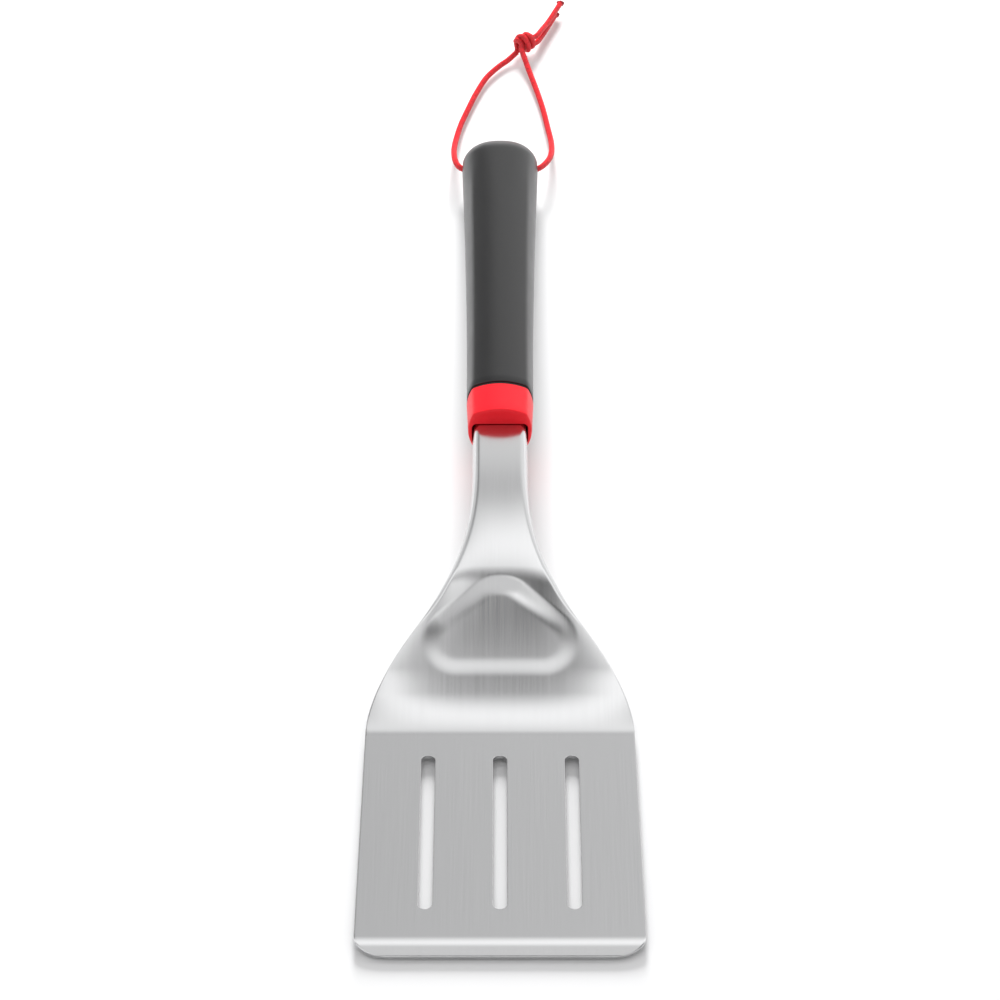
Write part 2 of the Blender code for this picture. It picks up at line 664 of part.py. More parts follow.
def hole_cutters(cutters, frame):
    """The cord's cross hole, and the flare at each of its mouths."""
    radius = CORD_DIAMETER / 2 + HOLE_CLEARANCE
    turn = (0.0, math.pi / 2, 0.0)
    half = grip_half(hole_place())[0]
    bore = cylinder_mesh("cross_hole", radius, radius, 3 * half)
    hole = as_cutter(add_object("cross_hole", bore, cutters, frame))
    hole.location = (0.0, hole_place(), 0.0)
    hole.rotation_euler = turn
    mouths = []
    depth = GRIP_WALL + MM
    outer = radius + MOUTH_FLARE * depth / GRIP_WALL
    for side in (-1, 1):
        ends = (outer, radius) if side < 0 else (radius, outer)
        name = "mouth_left" if side < 0 else "mouth_right"
        flare = as_cutter(add_object(name, cylinder_mesh(name, *ends, depth), cutters, frame))
        flare.location = (side * (half - GRIP_WALL + depth / 2), hole_place(), 0.0)
        flare.rotation_euler = turn
        mouths.append(flare)
    return hole, mouths


def pin_holes_in_tang(head, cutters, frame):
    for i, place in enumerate(PIN_PLACES):
        boolean(head, pin_cutter(f"tang_pin_hole_{i}", place, PIN_RADIUS + FIT_GAP,
                                 4 * GRIP_BACK_HALF[1], cutters, frame))


# ------------------------------------------------------------------ cord
def through(route, steps):
    """Points on a smooth curve through the route's points (Catmull-Rom)."""
    points = [Vector(p) * MM for p in route]
    padded = [2 * points[0] - points[1]] + points + [2 * points[-1] - points[-2]]
    smoothed = []
    for a, b, c, d in zip(padded, padded[1:], padded[2:], padded[3:]):
        for i in range(steps):
            t = i / steps
            smoothed.append(0.5 * (2 * b + (c - a) * t + (2 * a - 5 * b + 4 * c - d) * t * t
                                   + (3 * b - a - 3 * c + d) * t**3))
    return smoothed + [points[-1]]


def make_cord(name, route, parts, axis, braid):
    curve = bpy.data.curves.new(name, "CURVE")
    curve.dimensions = "3D"
    curve.bevel_depth = CORD_DIAMETER / 2
    curve.bevel_resolution = 2
    curve.use_fill_caps = True
    points = through(route, CORD_STEPS)
    spline = curve.splines.new("POLY")
    spline.points.add(len(points) - 1)
    for target, point in zip(spline.points, points):
        target.co = (*point, 1.0)
    curve.materials.append(braid)
    cord = bpy.data.objects.new(name, curve)
    parts.objects.link(cord)
    cord.parent = axis


def make_knot(parts, axis, braid):
    bm = bmesh.new()
    bmesh.ops.create_uvsphere(bm, u_segments=20, v_segments=12, radius=MM)
    bmesh.ops.scale(bm, vec=KNOT_HALF, verts=bm.verts)
    mesh = bpy.data.meshes.new("cord_knot")
    bm.to_mesh(mesh)
    bm.free()
    knot = add_object("cord_knot", mesh, parts, axis, braid)
    knot.location = Vector(KNOT_CENTRE) * MM
    shade(knot)


# ------------------------------------------------------------------ assembly
def main():
    clear_scene()
    parts = collection("grill_spatula")
    cutters = collection("cutters")
    steel = material("stainless_steel", (0.56, 0.56, 0.57), 0.32, 1.0)
    charcoal = material("soft_touch_grip", (0.055, 0.055, 0.058), 0.62)
    nylon = material("core_nylon", (0.03, 0.03, 0.03), 0.5)
    red = material("collar_red", (0.72, 0.045, 0.06), 0.42)
    rubber = material("seal_rubber", (0.01, 0.01, 0.01), 0.7)
    braid = material("cord_braid", (0.68, 0.03, 0.05), 0.75)

    drop = handle_drop()
    stations = walk(drop)
    origin = handle_place(drop)
    direction = Matrix.Rotation(-drop, 4, "X")
    butt = origin + direction @ Vector((0.0, hole_place() + BUTT_ROUND * math.sin(math.radians(83)),
                                        0.0))
    root = add_empty("spatula_frame", (0.0, -butt.y / 2, 0.0), parts)
    frame = add_empty("handle_frame", origin, parts, root, -drop)
    hole_middle = origin + direction @ Vector((0.0, hole_place(), 0.0))
    axis = add_empty("cord_axis", hole_middle, parts, root)

    head = make_head(stations, parts, cutters, root, steel)
    pin_holes_in_tang(head, cutters, frame)
    shade(head)
    hole, mouths = hole_cutters(cutters, frame)
    make_collar(parts, cutters, frame, red)
    make_seal(parts, cutters, frame, rubber)
    make_core(parts, cutters, frame, nylon, hole)
    make_grip(parts, cutters, frame, charcoal, hole, mouths)
    make_pins(parts, frame, steel)
    make_cord("cord_loop", CORD_LOOP, parts, axis, braid)
    make_knot(parts, axis, braid)
    make_cord("cord_tail_upper", CORD_TAIL_UPPER, parts, axis, braid)
    make_cord("cord_tail_lower", CORD_TAIL_LOWER, parts, axis, braid)


main()
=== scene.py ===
"""Looks of the grill spatula: brushed steel head, soft-touch grip, red collar and braided cord.

The camera and the cord come first. The head, the collar, the seal, the grip, the cord and its
knot are fine surfaces built over the frame's nodes; the core and the pins keep their own.
"""
import json
import math

import bmesh
import bpy
from mathutils import Matrix, Vector


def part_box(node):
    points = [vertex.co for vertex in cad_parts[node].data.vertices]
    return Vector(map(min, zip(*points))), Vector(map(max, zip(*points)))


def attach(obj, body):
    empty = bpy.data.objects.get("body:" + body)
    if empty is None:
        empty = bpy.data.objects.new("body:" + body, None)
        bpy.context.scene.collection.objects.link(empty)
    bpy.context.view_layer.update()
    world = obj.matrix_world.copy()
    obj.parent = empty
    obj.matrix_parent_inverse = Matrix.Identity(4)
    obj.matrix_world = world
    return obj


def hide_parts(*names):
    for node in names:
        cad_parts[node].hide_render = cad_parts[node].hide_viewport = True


MM = 0.001
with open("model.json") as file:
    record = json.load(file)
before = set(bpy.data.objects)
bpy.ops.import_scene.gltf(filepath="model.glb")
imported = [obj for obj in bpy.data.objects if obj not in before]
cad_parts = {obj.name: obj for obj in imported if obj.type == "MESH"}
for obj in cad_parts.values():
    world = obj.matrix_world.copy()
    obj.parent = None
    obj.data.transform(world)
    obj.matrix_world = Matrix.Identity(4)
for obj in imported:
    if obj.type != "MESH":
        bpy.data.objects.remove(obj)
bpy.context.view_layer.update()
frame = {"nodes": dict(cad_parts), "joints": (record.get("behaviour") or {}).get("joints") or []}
HINGE = Vector(frame["joints"][0]["pos_m"])
scene = bpy.context.scene
scene.view_settings.view_transform = "Standard"

# ------------------------------------------------------------------ places taken from the frame
FRONT_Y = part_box("turner_blade")[0].y      # foremost edge of the lip

# ------------------------------------------------------------------ sizes, as the part has them
SHEET = 1.5 * MM
BLADE_WIDTH = 100.5 * MM
HEEL_WIDTH = 98.6 * MM
BLADE_LENGTH = 99.0 * MM
LIP_FLAT = 4.0 * MM
LIP_RADIUS = 20.0 * MM
LIP_ANGLE = math.radians(13.0)
LIP_CORNER = 10.9 * MM
CREASE_RADIUS = 25.0 * MM
CREASE_ANGLE = math.radians(6.0)
HEEL_RADIUS = 88.0 * MM
HEEL_ANGLE = math.radians(17.2)
RISE_RADIUS = 387.0 * MM
RISE_ANGLE = math.radians(24.0)
BROW_RADIUS = 45.0 * MM
BROW_ANGLE = math.radians(14.5)
CREST_RADIUS = 205.0 * MM
NECK_STRAIGHT = 12.5 * MM
NECK_WIDTH = 21.6 * MM
WAIST_AT = 44.6 * MM
WAIST_SPAN = 46.8 * MM
NARROW_AT = 121.0 * MM
CROWN_DEPTH = 2.1 * MM
CROWN_FROM = 4.0 * MM
CROWN_FULL = 30.0 * MM
CROWN_FADES = 36.0 * MM
CROWN_ENDS = 120.0 * MM
SHOULDER_RADIUS = 2.5 * MM
FLANGE_DEPTH = 8.0 * MM
FLANGE_ANGLE = math.radians(84.0)
FLANGE_FULL_AT = 100.6 * MM
SLOT_WIDTH = 5.0 * MM
SLOT_LENGTH = 76.0 * MM
SLOT_PITCH = 26.0 * MM
SLOT_FROM_FOLD = 12.6 * MM
DISH_DEPTH = 0.95 * MM
DISH_SLOPE = 0.035
DISH_WALL = 8.0 * MM
DISH_ROUND = 10.0 * MM
DISH_TOP_HALF = 0.6 * MM
DISH_BASE_HALF = 15.5 * MM
DISH_BASE_AT = 40.0 * MM
DISH_ALONG = 11.6 * MM
TANG_SHOULDER = 3.8 * MM
TANG_LENGTH = 165.0 * MM
COLLAR_LENGTH = 18.5 * MM
COLLAR_FRONT_HALF = (12.6 * MM, 10.4 * MM)
GRIP_FRONT_HALF = (13.3 * MM, 10.9 * MM)
GRIP_BACK_HALF = (16.8 * MM, 11.5 * MM)
SEAL_WIDTH = 1.5 * MM
SEAL_INSET = 0.5 * MM
GRIP_LENGTH = 185.6 * MM
GRIP_SWELL = 1.7
BUTT_ROUND = 17.0 * MM
GRIP_WALL = 2.7 * MM
NECK_SEAT = 3.4 * MM
CHANNEL_IN_COLLAR = 12.0 * MM
CHANNEL_FADE = 6.0 * MM
TANG_TAPER = 6.0 * MM
CORE_PAST_HOLE = 7.0 * MM
CORNER_FRONT = 0.83
CORNER_BACK = 0.76
CORD_DIAMETER = 2.7 * MM
HOLE_CLEARANCE = 0.55 * MM         # room round the cord in its cross hole
HOLE_RADIUS = CORD_DIAMETER / 2 + HOLE_CLEARANCE
MOUTH_FLARE = 1.6 * MM
GAP = 0.3 * MM
EDGE_BREAK = 0.22 * MM             # bevel on the sheet's edges
RIM_BREAK = 0.35 * MM              # bevel on the collar's mouth
CORNER_BLEND = 1.0 * MM            # softness of the handle's four long corners
SIDE_SHARE = 0.77                  # height of the handle's side faces, of its half-height

# the cord's route in mm from the middle of its cross hole
CORD_LOOP = [
    (7.85, 111.0, -8.9), (3.6, 105.6, -9.9), (-0.5, 100.7, -10.1), (-6.3, 91.0, -10.1),
    (-11.0, 77.7, -10.1), (-14.7, 64.2, -10.1), (-17.8, 51.5, -9.9), (-19.7, 38.5, -8.6),
    (-20.6, 25.5, -5.4), (-20.5, 15.5, -2.6), (-19.9, 8.8, -1.0), (-18.6, 3.6, -0.25),
    (-16.4, 0.8, 0.0), (-13.6, 0.0, 0.0), (-7.0, 0.0, 0.0), (0.0, 0.0, 0.0), (7.0, 0.0, 0.0),
    (13.6, 0.0, 0.0), (16.4, 0.8, 0.0), (18.8, 3.4, -0.3), (21.0, 8.2, -1.1),
    (22.6, 15.2, -2.9), (23.3, 24.5, -5.6), (23.1, 35.8, -8.3), (21.8, 48.5, -9.8),
    (19.7, 64.9, -10.1), (16.8, 81.0, -10.0), (13.9, 94.0, -9.3), (11.9, 102.5, -8.0),
    (10.0, 109.8, -6.4),
]
CORD_TAIL_UPPER = [
    (17.3, 119.9, -5.2), (19.6, 125.8, -5.9), (22.4, 133.5, -7.0), (25.8, 143.0, -7.2),
    (29.2, 152.4, -7.0),
]
CORD_TAIL_LOWER = [
    (17.0, 119.5, -8.9), (19.4, 125.9, -9.9), (21.9, 133.0, -10.1), (24.4, 140.2, -10.1),
    (26.9, 147.2, -10.1),
]


# ------------------------------------------------------------------ small helpers
def smooth(t):
    """Ease from 0 to 1 with level ends."""
    t = min(max(t, 0.0), 1.0)
    return t * t * (3 - 2 * t)


def link(name, data):
    obj = bpy.data.objects.new(name, data)
    scene.collection.objects.link(obj)
    return obj


def mesh_from(name, vertices, faces):
    mesh = bpy.data.meshes.new(name)
    mesh.from_pydata(vertices, [], faces)
    mesh.update()
    return mesh


def evaluated(obj, name):
    """The object's mesh with its modifiers applied."""
    bpy.context.view_layer.update()
    graph = bpy.context.evaluated_depsgraph_get()
    mesh = bpy.data.meshes.new_from_object(obj.evaluated_get(graph))
    mesh.name = name
    return mesh


def apply_all(obj):
    """Turn the object's modifiers into its mesh."""
    mesh = evaluated(obj, obj.name)
    obj.modifiers.clear()
    obj.data = mesh


def cut(target, cutters):
    """Cut the cutters out of the target and delete them."""
    for cutter in cutters:
        step = target.modifiers.new(cutter.name, "BOOLEAN")
        step.object = cutter
        step.operation = "DIFFERENCE"
    apply_all(target)
    for cutter in cutters:
        bpy.data.objects.remove(cutter)


def finish_piece(obj, material, sharp=35.0):
    """Give the piece its material and smooth shading, sharp above an angle in degrees."""
    obj.data.materials.clear()
    obj.data.materials.append(material)
    obj.data.shade_smooth()
    obj.data.set_sharp_from_angle(angle=math.radians(sharp))


# ------------------------------------------------------------------ camera
LENS_MM = 122.4
SENSOR_MM = 36.0
CAMERA_BEFORE_LIP = 0.7926
CAMERA_HEIGHT = 0.8634
CAMERA_LOOKS_DOWN = math.radians(39.75)


def make_camera():
    data = bpy.data.cameras.new("camera")
    data.lens = LENS_MM
    data.sensor_width = SENSOR_MM
    data.clip_end = 50.0
    camera = link("camera", data)
    camera.location = (0.0, FRONT_Y - CAMERA_BEFORE_LIP, CAMERA_HEIGHT)
    camera.rotation_euler = (math.pi / 2 - CAMERA_LOOKS_DOWN, 0.0, 0.0)
    scene.camera = camera


# ------------------------------------------------------------------ node materials
class Nodes:
    """A material's node tree, with short ways to add nodes and links."""

    def __init__(self, name):
        self.material = bpy.data.materials.new(name)
        self.material.use_nodes = True
        self.tree = self.material.node_tree
        self.shader = self.tree.nodes["Principled BSDF"]

    def add(self, kind, **values):
        node = self.tree.nodes.new(kind)
        for key, value in values.items():
            setattr(node, key, value)
        return node

    def link(self, source, target):
        self.tree.links.new(source, target)

    def set(self, **values):
        for key, value in values.items():
            self.shader.inputs[key.replace("_", " ")].default_value = value

    def mapped(self, scale):
        """The object's own coordinates in metres, scaled."""
        coordinates = self.add("ShaderNodeTexCoord")
        mapping = self.add("ShaderNodeMapping")
        mapping.inputs["Scale"].default_value = scale
        self.link(coordinates.outputs["Object"], mapping.inputs["Vector"])
        return mapping.outputs["Vector"]

    def noise(self, vector, scale, detail):
        node = self.add("ShaderNodeTexNoise")
        node.inputs["Scale"].default_value = scale
        node.inputs["Detail"].default_value = detail
        node.inputs["Roughness"].default_value = 0.55
        self.link(vector, node.inputs["Vector"])
        return node.outputs["Fac"]

    def ramp(self, value, low, high, out_low, out_high):
        """The value with the span low to high moved to out_low to out_high."""
        node = self.add("ShaderNodeMapRange")
        node.inputs["From Min"].default_value = low
        node.inputs["From Max"].default_value = high
        node.inputs["To Min"].default_value = out_low
        node.inputs["To Max"].default_value = out_high
        self.link(value, node.inputs["Value"])
        return node.outputs["Result"]

    def mix(self, value, first, second):
        """A colour between the first, at 0, and the second, at 1."""
        node = self.add("ShaderNodeMix", data_type="RGBA")
        node.inputs["A"].default_value = (*first, 1.0)
        node.inputs["B"].default_value = (*second, 1.0)
        self.link(value, node.inputs["Factor"])
        return node.outputs["Result"]

    def bump(self, height, strength, distance):
        node = self.add("ShaderNodeBump")
        node.inputs["Strength"].default_value = strength
        node.inputs["Distance"].default_value = distance
        self.link(height, node.inputs["Height"])
        return node.outputs["Normal"]


def brushed_steel():
    """Satin sheet with fine lines along its length; its highlights spread across them."""
    n = Nodes("brushed_steel_satin")
    n.set(Metallic=1.0, Anisotropic=0.65, Roughness=0.21)
    fine = n.noise(n.mapped((2600.0, 22.0, 22.0)), 1.0, 2.0)
    hair = n.noise(n.mapped((5200.0, 30.0, 30.0)), 1.0, 1.0)
    lines = n.add("ShaderNodeMath", operation="ADD")
    n.link(fine, lines.inputs[0])
    n.link(hair, lines.inputs[1])
    n.link(n.mix(n.ramp(lines.outputs[0], 0.75, 1.25, 0.0, 1.0),
                 (0.628, 0.630, 0.636), (0.650, 0.652, 0.658)), n.shader.inputs["Base Color"])
    n.link(n.ramp(fine, 0.3, 0.7, 0.20, 0.25), n.shader.inputs["Roughness"])
    n.link(n.bump(fine, 0.10, 0.00002), n.shader.inputs["Normal"])
    tangent = n.add("ShaderNodeTangent", direction_type="UV_MAP", uv_map="brush")
    n.link(tangent.outputs[0], n.shader.inputs["Tangent"])
    return n.material


def soft_touch():
    """Charcoal moulding with a very fine grain."""
    n = Nodes("grip_charcoal")
    n.set(Roughness=0.5)
    grain = n.noise(n.mapped((1.0, 1.0, 1.0)), 4500.0, 2.0)
    cloud = n.noise(n.mapped((1.0, 0.4, 1.0)), 160.0, 4.0)
    n.link(n.mix(n.ramp(cloud, 0.3, 0.7, 0.0, 1.0),
                 (0.0045, 0.0045, 0.005), (0.0065, 0.0065, 0.007)), n.shader.inputs["Base Color"])
    n.link(n.ramp(cloud, 0.3, 0.7, 0.31, 0.36), n.shader.inputs["Roughness"])
    n.link(n.bump(grain, 0.25, 0.00003), n.shader.inputs["Normal"])
    return n.material


def red_moulding():
    """Satin red moulding of the collar."""
    n = Nodes("collar_red_satin")
    n.set(Roughness=0.42, Specular_IOR_Level=0.3)
    grain = n.noise(n.mapped((1.0, 1.0, 1.0)), 3500.0, 2.0)
    cloud = n.noise(n.mapped((1.0, 1.0, 1.0)), 220.0, 3.0)
    n.link(n.mix(n.ramp(cloud, 0.3, 0.7, 0.0, 1.0), (0.78, 0.004, 0.013), (0.84, 0.006, 0.017)),
           n.shader.inputs["Base Color"])
    n.link(n.ramp(cloud, 0.3, 0.7, 0.40, 0.46), n.shader.inputs["Roughness"])
    n.link(n.bump(grain, 0.12, 0.00002), n.shader.inputs["Normal"])
    return n.material


def black_rubber(name="seal_black", colour=(0.006, 0.006, 0.006)):
    """Dull black, for the seal and the core."""
    n = Nodes(name)
    n.set(Roughness=0.75)
    cloud = n.noise(n.mapped((1.0, 1.0, 1.0)), 900.0, 3.0)
    lighter = tuple(c * 1.3 + 0.001 for c in colour)
    n.link(n.mix(n.ramp(cloud, 0.3, 0.7, 0.0, 1.0), colour, lighter),
           n.shader.inputs["Base Color"])
    n.link(n.bump(cloud, 0.1, 0.00003), n.shader.inputs["Normal"])
    return n.material


def turned_steel():
    n = Nodes("pin_steel_turned")
    n.set(Metallic=1.0, Roughness=0.35)
    rings = n.noise(n.mapped((40.0, 40.0, 6000.0)), 1.0, 2.0)
    n.link(n.mix(n.ramp(rings, 0.3, 0.7, 0.0, 1.0), (0.48, 0.48, 0.48), (0.56, 0.56, 0.56)),
           n.shader.inputs["Base Color"])
    n.link(n.bump(rings, 0.1, 0.00002), n.shader.inputs["Normal"])
    return n.material


def red_braid(name="cord_red_braid", dark=(0.36, 0.003, 0.007), light=(0.84, 0.014, 0.024),
              roughness=0.55):
    """Braided polyester: fine filaments on the strands of the braid."""
    n = Nodes(name)
    n.set(Roughness=roughness)
    fibre = n.noise(n.mapped((1.0, 1.0, 1.0)), 5200.0, 2.0)
    patch = n.noise(n.mapped((1.0, 1.0, 1.0)), 700.0, 3.0)
    shade = n.add("ShaderNodeMath", operation="ADD")
    n.link(fibre, shade.inputs[0])
    n.link(patch, shade.inputs[1])
    n.link(n.mix(n.ramp(shade.outputs[0], 0.7, 1.3, 0.0, 1.0), dark, light),
           n.shader.inputs["Base Color"])
    n.link(n.bump(fibre, 0.3, 0.00006), n.shader.inputs["Normal"])
    return n.material


# ------------------------------------------------------------------ steel head
def bezier_height(points, x):
    """Second coordinate of a cubic Bezier curve where its first is x."""
    low, high = 0.0, 1.0
    for _ in range(40):
        t = (low + high) / 2
        s = 1.0 - t
        weights = (s**3, 3 * s * s * t, 3 * s * t * t, t**3)
        if sum(w * p[0] for w, p in zip(weights, points)) < x:
            low = t
        else:
            high = t
    s = 1.0 - low
    weights = (s**3, 3 * s * s * low, 3 * s * low * low, low**3)
    return sum(w * p[1] for w, p in zip(weights, points))


def eased(count):
    """Shares from 0 to 1 that crowd at both ends."""
    return [0.5 - 0.5 * math.cos(math.pi * i / count) for i in range(1, count + 1)]


def even(count):
    return [i / count for i in range(1, count + 1)]


def walk(drop):
    """Stations along the sheet's top: name of the stretch, y, z and heading."""
    chain = [
        ("lip", LIP_FLAT, 0.0, eased(4)),
        ("fold", LIP_RADIUS, -LIP_ANGLE, even(12)),
        ("blade", BLADE_LENGTH, 0.0, [0.004, 0.02, 0.98, 0.996, 1.0]),
        ("crease", CREASE_RADIUS, CREASE_ANGLE, even(5)),
        ("heel", HEEL_RADIUS, HEEL_ANGLE - CREASE_ANGLE, even(22)),
        ("rise", RISE_RADIUS, RISE_ANGLE - HEEL_ANGLE, even(60)),
        ("brow", BROW_RADIUS, BROW_ANGLE - RISE_ANGLE, even(9)),
        ("crest", CREST_RADIUS, -BROW_ANGLE - drop, even(40)),
        ("neck", NECK_STRAIGHT, 0.0, even(4)),
        ("channel", CHANNEL_IN_COLLAR, 0.0, even(3)),
        ("fade", CHANNEL_FADE, 0.0, even(6)),
        ("taper", TANG_TAPER, 0.0, even(6)),
        ("tang", TANG_LENGTH - CHANNEL_IN_COLLAR - CHANNEL_FADE - TANG_TAPER, 0.0, even(4)),
    ]
    y, z, heading = FRONT_Y, SHEET * math.cos(LIP_ANGLE), LIP_ANGLE
    stations = [("lip", y, z, heading)]
    for name, size, turn, shares in chain:
        y0, z0, h0 = y, z, heading
        for share in shares:
            if turn:
                heading = h0 + turn * share
                radius = math.copysign(size, turn)
                y = y0 + radius * (math.sin(heading) - math.sin(h0))
                z = z0 - radius * (math.cos(heading) - math.cos(h0))
            else:
                y = y0 + size * share * math.cos(h0)
                z = z0 + size * share * math.sin(h0)
            stations.append((name, y, z, heading))
    return stations


def places_of(stations):
    return {name: y for name, y, _, _ in stations}


def half_width(y, place):
    """Half-width of the head's outline in plan."""
    wide, narrow = HEEL_WIDTH / 2, NECK_WIDTH / 2
    middle = (place["blade"] + WAIST_AT, narrow + (wide - narrow) * 0.565)
    end = place["blade"] + NARROW_AT
    slope = -0.86 * (wide - narrow) / WAIST_SPAN
    if y <= place["fold"]:
        reach = min((place["fold"] - y) / (place["fold"] - FRONT_Y), 1.0)
        return BLADE_WIDTH / 2 - LIP_CORNER * (1 - math.sqrt(max(1 - reach * reach, 0.0)))
    if y <= place["blade"]:
        share = (y - place["fold"]) / (place["blade"] - place["fold"])
        return (BLADE_WIDTH + (HEEL_WIDTH - BLADE_WIDTH) * share) / 2
    if y <= middle[0]:
        shoulder = [(place["blade"], wide), (place["blade"] + 0.42 * WAIST_SPAN, wide),
                    (middle[0] - 0.19 * WAIST_SPAN, middle[1] - 0.19 * WAIST_SPAN * slope),
                    middle]
        return bezier_height(shoulder, y)
    if y <= end:
        waist = [middle, (middle[0] + 0.38 * WAIST_SPAN, middle[1] + 0.38 * WAIST_SPAN * slope),
                 (middle[0] + 0.72 * WAIST_SPAN, narrow), (end, narrow)]
        return bezier_height(waist, y)
    share = smooth((y - place["channel"]) / (place["taper"] - place["channel"]))
    return narrow - TANG_SHOULDER * share


def flange_depth(y, place):
    """How far the sheet's edges are folded down."""
    along = y - place["blade"] - WAIST_AT
    grown = smooth(along / (FLANGE_FULL_AT - WAIST_AT))
    return FLANGE_DEPTH * grown * (1 - smooth((y - place["channel"]) / CHANNEL_FADE))


COLUMNS = 40


def sheet_section(half, depth):
    """Right half of the sheet across the head."""
    angle = min(FLANGE_ANGLE, math.acos(1 - min(depth / SHOULDER_RADIUS, 1.0)))
    fall = SHOULDER_RADIUS * (1 - math.cos(angle))
    flange = max(depth - fall, 0.0) / math.sin(angle) if angle >= FLANGE_ANGLE else 0.0
    flat = half - SHOULDER_RADIUS * math.sin(angle) - flange * math.cos(angle)
    arc = SHOULDER_RADIUS * angle
    total = flat + arc + flange
    points = []
    for i in range(COLUMNS + 1):
        along = total * (1 - (1 - i / COLUMNS)**1.15)
        if along <= flat:
            points.append((along, 0.0))
        elif along <= flat + arc:
            turned = (along - flat) / SHOULDER_RADIUS
            points.append((flat + SHOULDER_RADIUS * math.sin(turned),
                           -SHOULDER_RADIUS * (1 - math.cos(turned))))
        else:
            rest = along - flat - arc
            points.append((flat + SHOULDER_RADIUS * math.sin(angle) + rest * math.cos(angle),
                           -fall - rest * math.sin(angle)))
    return points


def dish(x, y, place):
    """Depth of the shallow rounded triangle pressed into the slope, at a point in plan."""
    base = place["blade"] + DISH_BASE_AT
    top = base + DISH_ALONG
    corners = [Vector(c) for c in ((DISH_BASE_HALF, base), (DISH_TOP_HALF, top),
                                   (-DISH_TOP_HALF, top), (-DISH_BASE_HALF, base))]
    point = Vector((abs(x), y))
    inside = True
    nearest = 1.0
    for a, b in zip(corners, corners[1:] + corners[:1]):
        side = b - a
        share = min(max((point - a).dot(side) / side.dot(side), 0.0), 1.0)
        nearest = min(nearest, (point - a - side * share).length)
        inside = inside and side.cross(point - a) >= 0.0
    distance = (-nearest if inside else nearest) - DISH_ROUND
    floor = DISH_DEPTH + DISH_SLOPE * (y - (base + top) / 2)
    share = min(max(0.5 - distance / DISH_WALL, 0.0), 1.0)
    return floor * smooth(share**0.8)


def crown_drop(y, place):
    """How much lower the sheet's edges lie than its middle, across the slope and the neck."""
    along = y - place["blade"]
    grown = smooth((along - CROWN_FROM) / (CROWN_FULL - CROWN_FROM))
    return CROWN_DEPTH * grown * (1 - smooth((along - CROWN_FADES) / (CROWN_ENDS - CROWN_FADES)))


def slot_cutter(name, x, y, z):
    """Round-ended cutter as a closed prism."""
    steps = 16
    reach = (SLOT_LENGTH - SLOT_WIDTH) / 2
    ring = []
    for end, start in ((1, 0.0), (-1, math.pi)):
        for i in range(steps + 1):
            angle = start + math.pi * i / steps
            ring.append((x + SLOT_WIDTH / 2 * math.cos(angle),
                         y + end * reach + SLOT_WIDTH / 2 * math.sin(angle)))
    count = len(ring)
    vertices = [(px, py, z + side * 5 * MM) for side in (-1, 1) for px, py in ring]
    faces = [tuple(reversed(range(count))), tuple(range(count, 2 * count))]
    faces += [(i, (i + 1) % count, count + (i + 1) % count, count + i) for i in range(count)]
    return link(name, mesh_from(name, vertices, faces))


def make_head(drop, steel):
    stations = walk(drop)
    place = places_of(stations)
    vertices, faces = [], []
    width = 2 * COLUMNS + 1
    for _, y, z, heading in stations:
        half, drop_here = half_width(y, place), crown_drop(y, place)
        right = sheet_section(half, flange_depth(y, place))
        for x, dz in [(-x, dz) for x, dz in reversed(right[1:])] + right:
            lift = dz - dish(x, y, place) - drop_here * abs(x / half)**3
            vertices.append((x, y - lift * math.sin(heading), z + lift * math.cos(heading)))
    for row in range(len(stations) - 1):
        for i in range(width - 1):
            a = row * width + i
            faces.append((a, a + 1, a + 1 + width, a + width))
    head = link("turner_head", mesh_from("turner_head", vertices, faces))
    thicken = head.modifiers.new("sheet", "SOLIDIFY")
    thicken.thickness = SHEET
    thicken.offset = -1.0
    thicken.use_even_offset = True
    apply_all(head)
    fold = [s for s in stations if s[0] == "fold"][-1]
    middle = fold[1] + SLOT_FROM_FOLD + SLOT_LENGTH / 2
    cut(head, [slot_cutter(f"slot_{i}", (i - 1) * SLOT_PITCH, middle, fold[2]) for i in range(3)])
    soften = head.modifiers.new("edges", "BEVEL")
    soften.width = EDGE_BREAK
    soften.segments = 2
    soften.limit_method = "ANGLE"
    soften.angle_limit = math.radians(50.0)
    soften.use_clamp_overlap = False
    apply_all(head)
    brush_map(head)
    finish_piece(head, steel, 40.0)
    weight = head.modifiers.new("weights", "WEIGHTED_NORMAL")
    weight.keep_sharp = True
    apply_all(head)
    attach(head, "spatula")
    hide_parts("turner_blade")
    return stations


def brush_map(obj):
    """A map whose first direction runs across the head, for the brushed highlights."""
    layer = obj.data.uv_layers.new(name="brush")
    for loop in obj.data.loops:
        co = obj.data.vertices[loop.vertex_index].co
        layer.data[loop.index].uv = (co.x * 10, co.y * 10 + co.z * 2)


# ------------------------------------------------------------------ handle
def handle_matrix(drop, stations):
    """Frame of the handle: it starts where the neck ends, at the height of the handle's axis."""
    _, y, z, heading = [s for s in stations if s[0] == "neck"][-1]
    origin = Vector((0.0, y + NECK_SEAT * math.sin(heading), z - NECK_SEAT * math.cos(heading)))
    return Matrix.Translation(origin) @ Matrix.Rotation(-drop, 4, "X")


def hole_place():
    """Distance of the cross hole from the front of the collar."""
    return COLLAR_LENGTH + SEAL_WIDTH + GRIP_LENGTH


def handle_drop_from_frame():
    """The handle's fall towards the butt: the one angle for which the walk meets the hinge."""
    low, high = math.radians(-10.0), math.radians(20.0)
    for _ in range(50):
        middle = (low + high) / 2
        matrix = handle_matrix(middle, walk(middle))
        if (matrix @ Vector((0.0, hole_place(), 0.0))).z > HINGE.z:
            low = middle
        else:
            high = middle
    return low


